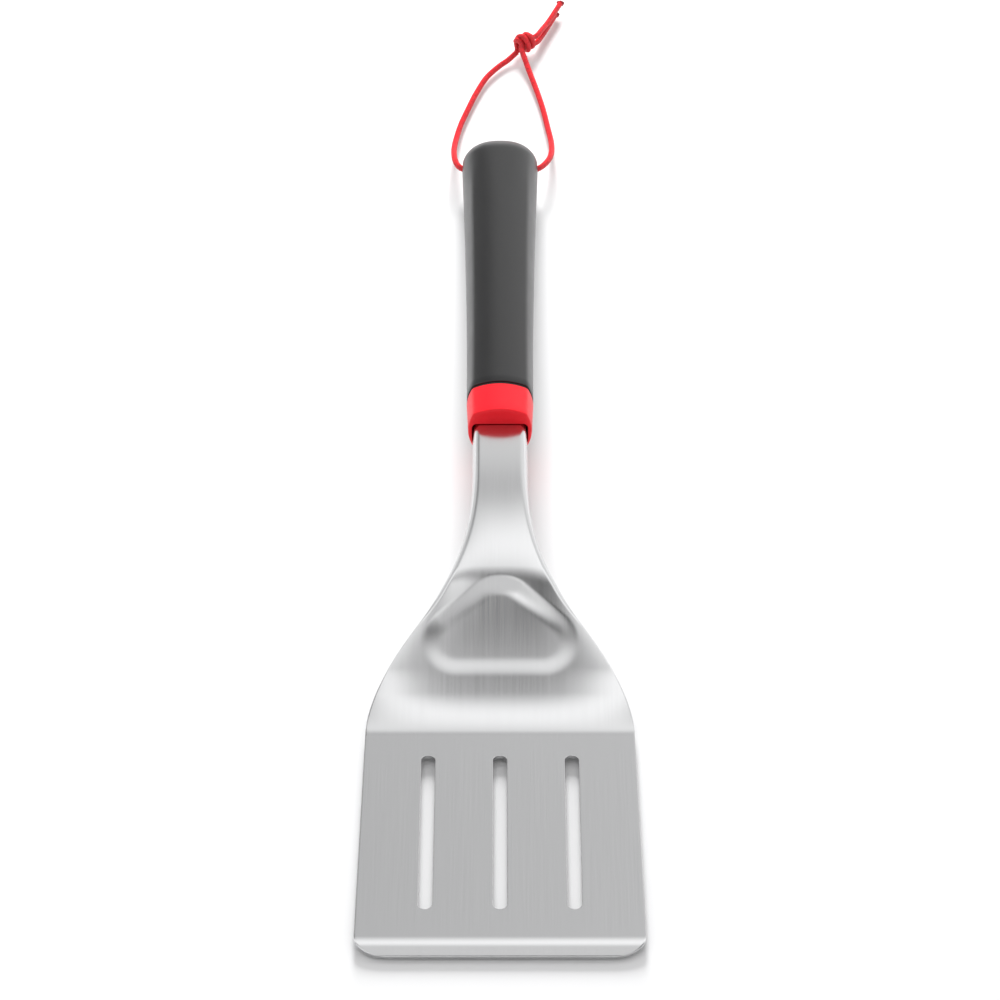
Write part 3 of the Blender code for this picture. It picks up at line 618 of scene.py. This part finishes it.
def grip_half(v):
    """Half-width and half-height of the grip at a distance along the handle."""
    u = min(max((v - COLLAR_LENGTH - SEAL_WIDTH) / GRIP_LENGTH, 0.0), 1.0)
    past = max(v - hole_place(), 0.0) / BUTT_ROUND
    end = math.sqrt(max(1.0 - past * past, 0.0))
    width = GRIP_FRONT_HALF[0] + (GRIP_BACK_HALF[0] - GRIP_FRONT_HALF[0]) * u**GRIP_SWELL
    height = GRIP_FRONT_HALF[1] + (GRIP_BACK_HALF[1] - GRIP_FRONT_HALF[1]) * u
    return width * end, height * end


def section(v, half_w, half_h):
    """Ring of the handle: crowned top, bowed sides and soft corners between them."""
    u = min(max(v / hole_place(), 0.0), 1.0)
    cx = half_w * (CORNER_FRONT + (CORNER_BACK - CORNER_FRONT) * u)
    cz = half_h * SIDE_SHARE
    corner = min(CORNER_BLEND, 0.45 * cz)

    def top(x):
        return half_h - (half_h - cz) * (x / cx)**2

    def side(z):
        return half_w - (half_w - cx) * (z / cz)**2

    start = Vector((cx - corner, top(cx - corner)))
    end = Vector((side(cz - corner), cz - corner))
    quarter = [Vector(((cx - corner) * i / 12, top((cx - corner) * i / 12))) for i in range(12)]
    for i in range(7):
        t = i / 6
        quarter.append(start * (1 - t)**2 + Vector((cx, cz)) * 2 * t * (1 - t) + end * t * t)
    for i in range(1, 10):
        z = (cz - corner) * (1 - i / 9)
        quarter.append(Vector((side(z), z)))
    blend = smooth((v - hole_place() + 45 * MM) / (45 * MM))
    for i, point in enumerate(quarter):
        angle = math.atan2(point.y / half_h, point.x / half_w)
        oval = Vector((half_w * abs(math.cos(angle))**0.84, half_h * abs(math.sin(angle))**0.84))
        quarter[i] = point.lerp(oval, blend)
    right = [(p.x, p.y) for p in quarter] + [(p.x, -p.y) for p in reversed(quarter[:-1])]
    left = [(-x, z) for x, z in reversed(right[1:-1])]
    return [(x, v, z) for x, z in right + left]


def loft(name, rings, matrix):
    """Closed body through the rings, which are given on the handle's own axes."""
    count = len(rings[0])
    vertices = [tuple(matrix @ Vector(p)) for ring in rings for p in ring]
    faces = [tuple(range(count)), tuple(reversed(range((len(rings) - 1) * count,
                                                       len(rings) * count)))]
    for row in range(len(rings) - 1):
        for i in range(count):
            a, b = row * count + i, row * count + (i + 1) % count
            faces.append((a, a + count, b + count, b))
    obj = link(name, mesh_from(name, vertices, faces))
    bm = bmesh.new()
    bm.from_mesh(obj.data)
    bmesh.ops.recalc_face_normals(bm, faces=bm.faces)
    bm.to_mesh(obj.data)
    bm.free()
    return obj


def arch_cutter(name, low, high, matrix):
    """The neck's seat: a long box whose upper edges are rounded like the neck's shoulders."""
    half = NECK_WIDTH / 2 + GAP
    top, bottom = NECK_SEAT + GAP, NECK_SEAT - FLANGE_DEPTH - 1.5 * GAP
    radius = SHOULDER_RADIUS * 0.85
    ring = [(-half, bottom), (half, bottom)]
    for side, start in ((1, 0.0), (-1, math.pi / 2)):
        for i in range(9):
            angle = start + math.pi / 2 * i / 8
            ring.append((side * (half - radius) + radius * math.cos(angle),
                         top - radius + radius * math.sin(angle)))
    return loft(name, [[(x, v, z) for x, z in ring] for v in (low, high)], matrix)


def rod_cutter(name, radius_a, radius_b, a, b, matrix):
    """Cone or cylinder between two points on the handle's own axes."""
    axis = (Vector(b) - Vector(a)).normalized()
    across = axis.orthogonal().normalized()
    other = axis.cross(across)
    rings = []
    for centre, radius in ((a, radius_a), (b, radius_b)):
        rings.append([tuple(Vector(centre) + across * radius * math.cos(2 * math.pi * i / 40)
                            + other * radius * math.sin(2 * math.pi * i / 40))
                      for i in range(40)])
    return loft(name, rings, matrix)


def make_collar(matrix, red):
    rings = []
    edge = 1.1 * MM
    steps = [(edge * (1 - math.cos(a)), edge * (1 - math.sin(a)))
             for a in (math.radians(d) for d in range(0, 91, 15))]
    places = steps + [(v * MM, 0.0) for v in (4.0, 9.0, 14.0)]
    places += [(COLLAR_LENGTH - GAP / 2 - 0.3 * MM, 0.0), (COLLAR_LENGTH - GAP / 2, 0.25 * MM)]
    for v, shrink in places:
        share = v / COLLAR_LENGTH
        half = [a + (b - a) * share - shrink for a, b in zip(COLLAR_FRONT_HALF, GRIP_FRONT_HALF)]
        rings.append(section(v, *half))
    collar = loft("collar_ring", rings, matrix)
    cut(collar, [arch_cutter("collar_seat", -5 * MM, COLLAR_LENGTH + 5 * MM, matrix)])
    soften = collar.modifiers.new("rim", "BEVEL")
    soften.width = RIM_BREAK
    soften.segments = 3
    soften.limit_method = "ANGLE"
    soften.angle_limit = math.radians(55.0)
    apply_all(collar)
    finish_piece(collar, red)
    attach(collar, "spatula")
    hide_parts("collar")


def make_seal(matrix, rubber):
    start, end = COLLAR_LENGTH + GAP / 2, COLLAR_LENGTH + SEAL_WIDTH - GAP / 2
    half = [size - SEAL_INSET for size in GRIP_FRONT_HALF]
    rings = [section(start, *half), section((start + end) / 2, *[h + 0.1 * MM for h in half]),
             section(end, *half)]
    seal = loft("collar_gasket", rings, matrix)
    cut(seal, [arch_cutter("seal_seat", start - 5 * MM, end + 5 * MM, matrix)])
    finish_piece(seal, rubber)
    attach(seal, "spatula")
    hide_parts("collar_seal")


def make_grip(matrix, charcoal):
    front = COLLAR_LENGTH + SEAL_WIDTH + GAP / 2
    rings = [section(front, *[h - 0.3 * MM for h in grip_half(front)]),
             section(front + 0.1 * MM, *[h - 0.1 * MM for h in grip_half(front)])]
    body = [front + 0.35 * MM + (hole_place() - front) * i / 44 for i in range(44)]
    butt = [hole_place() + BUTT_ROUND * math.sin(math.radians(a)) for a in range(0, 88, 4)]
    rings += [section(v, *grip_half(v)) for v in body + butt]
    grip = loft("grip_sleeve", rings, matrix)
    inset = GRIP_WALL - GAP
    inner = [v for v in body[::4] + butt if v < hole_place() + CORE_PAST_HOLE] + \
            [hole_place() + CORE_PAST_HOLE + GAP]
    hollow = [section(v, *[h - inset for h in grip_half(v)]) for v in inner]
    mouth = [(x, v - 5 * MM, z) for x, v, z in hollow[0]]
    half = grip_half(hole_place())[0]
    hole = hole_place()
    depth = GRIP_WALL + MM
    outer = HOLE_RADIUS + MOUTH_FLARE * depth / GRIP_WALL
    cutters = [loft("grip_hollow", [mouth] + hollow, matrix),
               rod_cutter("bore", HOLE_RADIUS, HOLE_RADIUS, (-1.5 * half, hole, 0.0),
                          (1.5 * half, hole, 0.0), matrix)]
    for side in (-1, 1):
        cutters.append(rod_cutter(f"mouth_{side}", HOLE_RADIUS, outer,
                                  (side * (half - GRIP_WALL), hole, 0.0),
                                  (side * (half - GRIP_WALL + depth), hole, 0.0), matrix))
    cut(grip, cutters)
    finish_piece(grip, charcoal)
    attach(grip, "spatula")
    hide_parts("grip")


# ------------------------------------------------------------------ cord
def through(route, steps):
    """Points on a smooth curve through the route's points (Catmull-Rom), in metres."""
    points = [HINGE + Vector(p) * MM for p in route]
    padded = [2 * points[0] - points[1]] + points + [2 * points[-1] - points[-2]]
    smoothed = []
    for a, b, c, d in zip(padded, padded[1:], padded[2:], padded[3:]):
        for i in range(steps):
            t = i / steps
            smoothed.append(0.5 * (2 * b + (c - a) * t + (2 * a - 5 * b + 4 * c - d) * t * t
                                   + (3 * b - a - 3 * c + d) * t**3))
    return smoothed + [points[-1]]


def resample(points, spacing):
    """The same line with points at an even spacing."""
    lengths = [0.0]
    for a, b in zip(points, points[1:]):
        lengths.append(lengths[-1] + (b - a).length)
    count = max(int(round(lengths[-1] / spacing)), 2)
    even_points, k = [], 0
    for i in range(count + 1):
        want = lengths[-1] * i / count
        while k < len(points) - 2 and lengths[k + 1] < want:
            k += 1
        share = (want - lengths[k]) / max(lengths[k + 1] - lengths[k], 1e-12)
        even_points.append(points[k].lerp(points[k + 1], min(max(share, 0.0), 1.0)))
    return even_points, lengths[-1]


CARRIERS = 8                       # strands of the braid each way
AROUND = 40                        # points round the cord
CELL = 1.45 * MM                   # length of one crossing along the cord
RELIEF = 0.24 * MM                 # depth between strands
RING_SPACING = 0.29 * MM           # distance of the tube's rings along the cord


def braid(turn, along):
    """Height of the braid's surface, 0 to 1: two families of strands that cross over and under."""
    a = turn * CARRIERS + along / CELL
    b = turn * CARRIERS - along / CELL
    i, j = math.floor(a), math.floor(b)
    fa, fb = math.sin(math.pi * (a - i)), math.sin(math.pi * (b - j))
    if (i + j) % 2 == 0:
        return fa**0.7 * (0.6 + 0.4 * fb)
    return fb**0.7 * (0.6 + 0.4 * fa)


def braided_tube(name, points, material, radius=CORD_DIAMETER / 2):
    """Closed tube along the points, its surface raised by the braid."""
    line, length = resample(points, RING_SPACING)
    normal = (line[1] - line[0]).orthogonal().normalized()
    vertices, faces = [], []
    last = (line[1] - line[0]).normalized()
    for k, centre in enumerate(line):
        ahead = line[min(k + 1, len(line) - 1)] - line[max(k - 1, 0)]
        ahead.normalize()
        normal = last.rotation_difference(ahead) @ normal
        normal = (normal - ahead * normal.dot(ahead)).normalized()
        last = ahead
        side = ahead.cross(normal)
        along = length * k / (len(line) - 1)
        for i in range(AROUND):
            turn = i / AROUND
            r = radius - RELIEF * (1 - braid(turn, along))
            angle = 2 * math.pi * turn
            vertices.append(tuple(centre + normal * r * math.cos(angle)
                                  + side * r * math.sin(angle)))
    rows = len(line)
    for row in range(rows - 1):
        for i in range(AROUND):
            j = (i + 1) % AROUND
            faces.append((row * AROUND + i, row * AROUND + j,
                          (row + 1) * AROUND + j, (row + 1) * AROUND + i))
    faces.append(tuple(reversed(range(AROUND))))
    faces.append(tuple(range((rows - 1) * AROUND, rows * AROUND)))
    tube = link(name, mesh_from(name, vertices, faces))
    finish_piece(tube, material, 60.0)
    return tube, line, length


def melted_tip(name, place, direction, size, material):
    """The heat-sealed end of a tail: a flared, uneven little cap."""
    bm = bmesh.new()
    bmesh.ops.create_uvsphere(bm, u_segments=28, v_segments=16, radius=1.0)
    for vert in bm.verts:
        angle = math.atan2(vert.co.y, vert.co.x)
        wobble = 1 + 0.07 * math.sin(3 * angle + 0.7) + 0.05 * math.sin(5 * angle + vert.co.z * 3)
        vert.co.x *= wobble
        vert.co.y *= wobble
        vert.co.z = vert.co.z * (0.42 if vert.co.z > 0 else 0.75)
    mesh = bpy.data.meshes.new(name)
    bm.to_mesh(mesh)
    bm.free()
    tip = link(name, mesh)
    mesh.transform(Matrix.Translation(place) @ direction.to_track_quat("Z", "Y").to_matrix().to_4x4()
                   @ Matrix.Diagonal((*size, 1.0)))
    finish_piece(tip, material, 60.0)
    return tip


# the knot, in mm from the cross hole, with its own two axes along and across the doubled cord
KNOT_MIDDLE = Vector((12.2, 115.6, -6.2))
KNOT_ALONG = Vector((0.60, 0.80, 0.0))
KNOT_ACROSS = Vector((0.80, -0.60, 0.0))


KNOT_FRONT = [
    (-5.6, -1.0, -2.6), (-3.6, -2.4, -2.2), (-1.9, -4.2, -0.4), (-1.2, -3.3, 2.4),
    (-1.6, 0.0, 3.5), (-2.4, 2.9, 1.4), (-2.2, 3.0, -1.8), (-0.6, 0.2, -3.0),
    (1.6, -2.4, -2.2), (2.6, -3.4, 0.4), (2.4, -1.4, 2.6), (2.6, 1.0, 2.2), (4.6, 1.2, 0.6),
]
KNOT_BACK = [
    (-5.6, 1.2, -0.2), (-3.9, 0.4, 1.0), (-3.4, -2.2, 2.0), (-2.6, -4.0, 0.4),
    (-0.6, -4.2, -1.4), (1.2, -1.6, -2.9), (1.4, 2.0, -2.4), (0.9, 3.7, 0.2),
    (0.6, 2.2, 2.9), (1.0, -0.8, 3.4), (3.2, -2.4, 1.6), (4.4, -1.2, -0.8), (5.4, 0.6, -2.6),
]
TIP_SIZE = (1.95 * MM, 1.45 * MM, 1.6 * MM)


def knot_point(p, q, z):
    """Place of a point given along, across and above the knot's middle."""
    return KNOT_MIDDLE + KNOT_ALONG * p + KNOT_ACROSS * q + Vector((0.0, 0.0, z))


def make_cord(braid_material, melted):
    """Loop, knot and the two free ends with their melted tips, as one cord."""
    loop_points = through(CORD_LOOP, 14)
    loop, line, length = braided_tube("cord_braided_loop", loop_points, braid_material)
    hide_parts("cord_loop")
    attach(loop, "hanging_loop")
    extras = []
    for name, route, node in (("tail_long", CORD_TAIL_UPPER, "cord_tail_upper"),
                              ("tail_short", CORD_TAIL_LOWER, "cord_tail_lower")):
        start = knot_point(1.5, 0.3, 0.6 if node.endswith("upper") else -1.6)
        points = through([tuple(start)] + route, 10)
        tail, _, _ = braided_tube(name, points, braid_material, CORD_DIAMETER / 2 * 0.97)
        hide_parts(node)
        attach(tail, "hanging_loop")
        direction = (points[-1] - points[-3]).normalized()
        tip = melted_tip(name + "_tip", points[-1] - direction * 0.6 * MM, direction,
                         TIP_SIZE, melted)
        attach(tip, "hanging_loop")
        extras += [tail, tip]
    extras += make_knot(braid_material)


def make_knot(material):
    """Overhand knot in the doubled cord: two lobes of paired strands round a core."""
    pieces = []
    for name, route in (("knot_front_strand", KNOT_FRONT), ("knot_back_strand", KNOT_BACK)):
        points = through([tuple(knot_point(*place)) for place in route], 10)
        strand, _, _ = braided_tube(name, points, material, CORD_DIAMETER / 2 * 0.95)
        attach(strand, "hanging_loop")
        pieces.append(strand)
    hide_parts("cord_knot")
    return pieces


# ------------------------------------------------------------------ floor and light
FLOOR_HEIGHT = -1.0 * MM           # a little below the tool, for a softer shadow in front
FLOOR_REACH = 6.0


def make_floor():
    corners = [(x * FLOOR_REACH, y * FLOOR_REACH, FLOOR_HEIGHT)
               for x, y in ((-1, -1), (1, -1), (1, 1), (-1, 1))]
    mesh = mesh_from("floor", corners, [(0, 1, 2, 3)])
    floor = link("floor", mesh)
    n = Nodes("floor_white")
    n.set(Roughness=0.9)
    n.shader.inputs["Base Color"].default_value = (0.76, 0.76, 0.765, 1.0)
    n.shader.inputs["Specular IOR Level"].default_value = 0.1
    mesh.materials.append(n.material)


# strength of the dome by the angle in degrees from the horizon behind, over the top, to the front
SKY = [(0.0, 0.95), (30.0, 0.98), (38.0, 0.92), (43.0, 0.74), (48.0, 0.66), (52.0, 0.86),
       (57.0, 1.30), (62.0, 1.56), (68.0, 1.48), (72.0, 0.98), (76.0, 0.54), (80.0, 0.26),
       (85.0, 0.05), (90.0, 0.16), (95.0, 0.46), (106.0, 0.95), (150.0, 0.85), (180.0, 0.75)]
# factor on the dome from far left (-1) to far right (1), which fades out between two angles
ACROSS = [(-1.0, 1.0), (-0.5, 0.90), (-0.34, 0.40), (-0.20, 0.45), (-0.08, 0.95), (0.0, 1.0),
          (0.3, 1.12), (1.0, 1.2)]
ACROSS_BELOW = (56.0, 66.0)
# round lamp high above: its direction, the angles where it starts and is full, its strength
TOP_LIGHT = Vector((-0.27, -0.02, 0.96)).normalized()
TOP_LIGHT_REACH = (math.radians(15.0), math.radians(7.0))
TOP_LIGHT_STRENGTH = 1.35


def fill(ramp, stops, peak):
    """Put the stops, each a place and a strength, on a colour ramp as shares of the peak."""
    while len(ramp.color_ramp.elements) < len(stops):
        ramp.color_ramp.elements.new(0.5)
    for element, (place, value) in zip(ramp.color_ramp.elements, stops):
        element.position = place
        element.color = (value / peak, value / peak, value / peak, 1.0)


def make_world():
    """Studio dome: a bright band behind, dim overhead, a dark card low on the left, a high lamp."""
    world = bpy.data.worlds.new("studio")
    scene.world = world
    world.use_nodes = True
    tree = world.node_tree
    nodes, links = tree.nodes, tree.links
    nodes.clear()
    output = nodes.new("ShaderNodeOutputWorld")
    background = nodes.new("ShaderNodeBackground")
    coordinates = nodes.new("ShaderNodeTexCoord")
    split = nodes.new("ShaderNodeSeparateXYZ")
    angle = nodes.new("ShaderNodeMath")
    angle.operation = "ARCTAN2"
    share = nodes.new("ShaderNodeMath")
    share.operation = "DIVIDE"
    share.inputs[1].default_value = math.pi
    ramp = nodes.new("ShaderNodeValToRGB")
    ramp.color_ramp.interpolation = "B_SPLINE"
    peak = max(value for _, value in SKY)
    fill(ramp, [(degrees / 180.0, value) for degrees, value in SKY], peak)
    spread = nodes.new("ShaderNodeMapRange")
    spread.inputs["From Min"].default_value = -1.0
    spread.inputs["From Max"].default_value = 1.0
    side = nodes.new("ShaderNodeValToRGB")
    side.color_ramp.interpolation = "EASE"
    brightest = max(value for _, value in ACROSS)
    fill(side, [((place + 1.0) / 2.0, value) for place, value in ACROSS], brightest)
    low_part = nodes.new("ShaderNodeMapRange")
    low_part.interpolation_type = "SMOOTHSTEP"
    low_part.inputs["From Min"].default_value = ACROSS_BELOW[0] / 180.0
    low_part.inputs["From Max"].default_value = ACROSS_BELOW[1] / 180.0
    low_part.inputs["To Min"].default_value = 1.0
    low_part.inputs["To Max"].default_value = 0.0
    card = nodes.new("ShaderNodeMix")
    card.inputs["A"].default_value = 1.0 / brightest
    dimmed = nodes.new("ShaderNodeVectorMath")
    dimmed.operation = "SCALE"
    scale = nodes.new("ShaderNodeVectorMath")
    scale.operation = "SCALE"
    scale.inputs["Scale"].default_value = peak * brightest
    towards = nodes.new("ShaderNodeVectorMath")
    towards.operation = "DOT_PRODUCT"
    towards.inputs[1].default_value = TOP_LIGHT
    lamp = nodes.new("ShaderNodeMapRange")
    lamp.interpolation_type = "SMOOTHSTEP"
    lamp.inputs["From Min"].default_value = math.cos(TOP_LIGHT_REACH[0])
    lamp.inputs["From Max"].default_value = math.cos(TOP_LIGHT_REACH[1])
    lamp.inputs["To Max"].default_value = TOP_LIGHT_STRENGTH
    total = nodes.new("ShaderNodeVectorMath")
    total.operation = "ADD"
    links.new(coordinates.outputs["Generated"], split.inputs[0])
    links.new(split.outputs["Z"], angle.inputs[0])
    links.new(split.outputs["Y"], angle.inputs[1])
    links.new(angle.outputs[0], share.inputs[0])
    links.new(share.outputs[0], ramp.inputs["Fac"])
    links.new(coordinates.outputs["Generated"], towards.inputs[0])
    links.new(towards.outputs["Value"], lamp.inputs["Value"])
    links.new(ramp.outputs["Color"], scale.inputs[0])
    links.new(split.outputs["X"], spread.inputs["Value"])
    links.new(spread.outputs["Result"], side.inputs["Fac"])
    links.new(side.outputs["Color"], card.inputs["B"])
    links.new(share.outputs[0], low_part.inputs["Value"])
    links.new(low_part.outputs["Result"], card.inputs["Factor"])
    links.new(scale.outputs[0], dimmed.inputs[0])
    links.new(card.outputs["Result"], dimmed.inputs["Scale"])
    links.new(dimmed.outputs[0], total.inputs[0])
    links.new(lamp.outputs["Result"], total.inputs[1])
    links.new(total.outputs[0], background.inputs["Color"])
    links.new(background.outputs[0], output.inputs[0])


KEY_SIZE = (0.5, 0.9)
KEY_ENERGY = 78.0
KEY_PLACE = (-0.03, 1.80, 0.70)


def make_lights():
    """One low softbox behind the tool, which throws its shadow forward."""
    data = bpy.data.lights.new("key_softbox", "AREA")
    data.shape = "RECTANGLE"
    data.size, data.size_y = KEY_SIZE
    data.energy = KEY_ENERGY
    key = link("key_softbox", data)
    key.location = KEY_PLACE
    key.rotation_euler = (-key.location).to_track_quat("-Z", "Y").to_euler()
    key.visible_glossy = False


# ------------------------------------------------------------------ everything
def main():
    make_camera()
    braid_material = red_braid()
    melted = red_braid("cord_melted_end", (0.22, 0.006, 0.012), (0.34, 0.01, 0.018), 0.4)
    make_cord(braid_material, melted)

    drop = handle_drop_from_frame()
    steel = brushed_steel()
    stations = make_head(drop, steel)
    matrix = handle_matrix(drop, stations)
    make_collar(matrix, red_moulding())
    make_seal(matrix, black_rubber())
    make_grip(matrix, soft_touch())
    core = black_rubber("core_nylon_black", (0.02, 0.02, 0.02))
    pin = turned_steel()
    for node, material in (("handle_core", core), ("tang_pin_front", pin),
                           ("tang_pin_rear", pin)):
        obj = frame["nodes"][node]
        obj.data.materials.clear()
        obj.data.materials.append(material)
    make_floor()
    make_world()
    make_lights()


main()
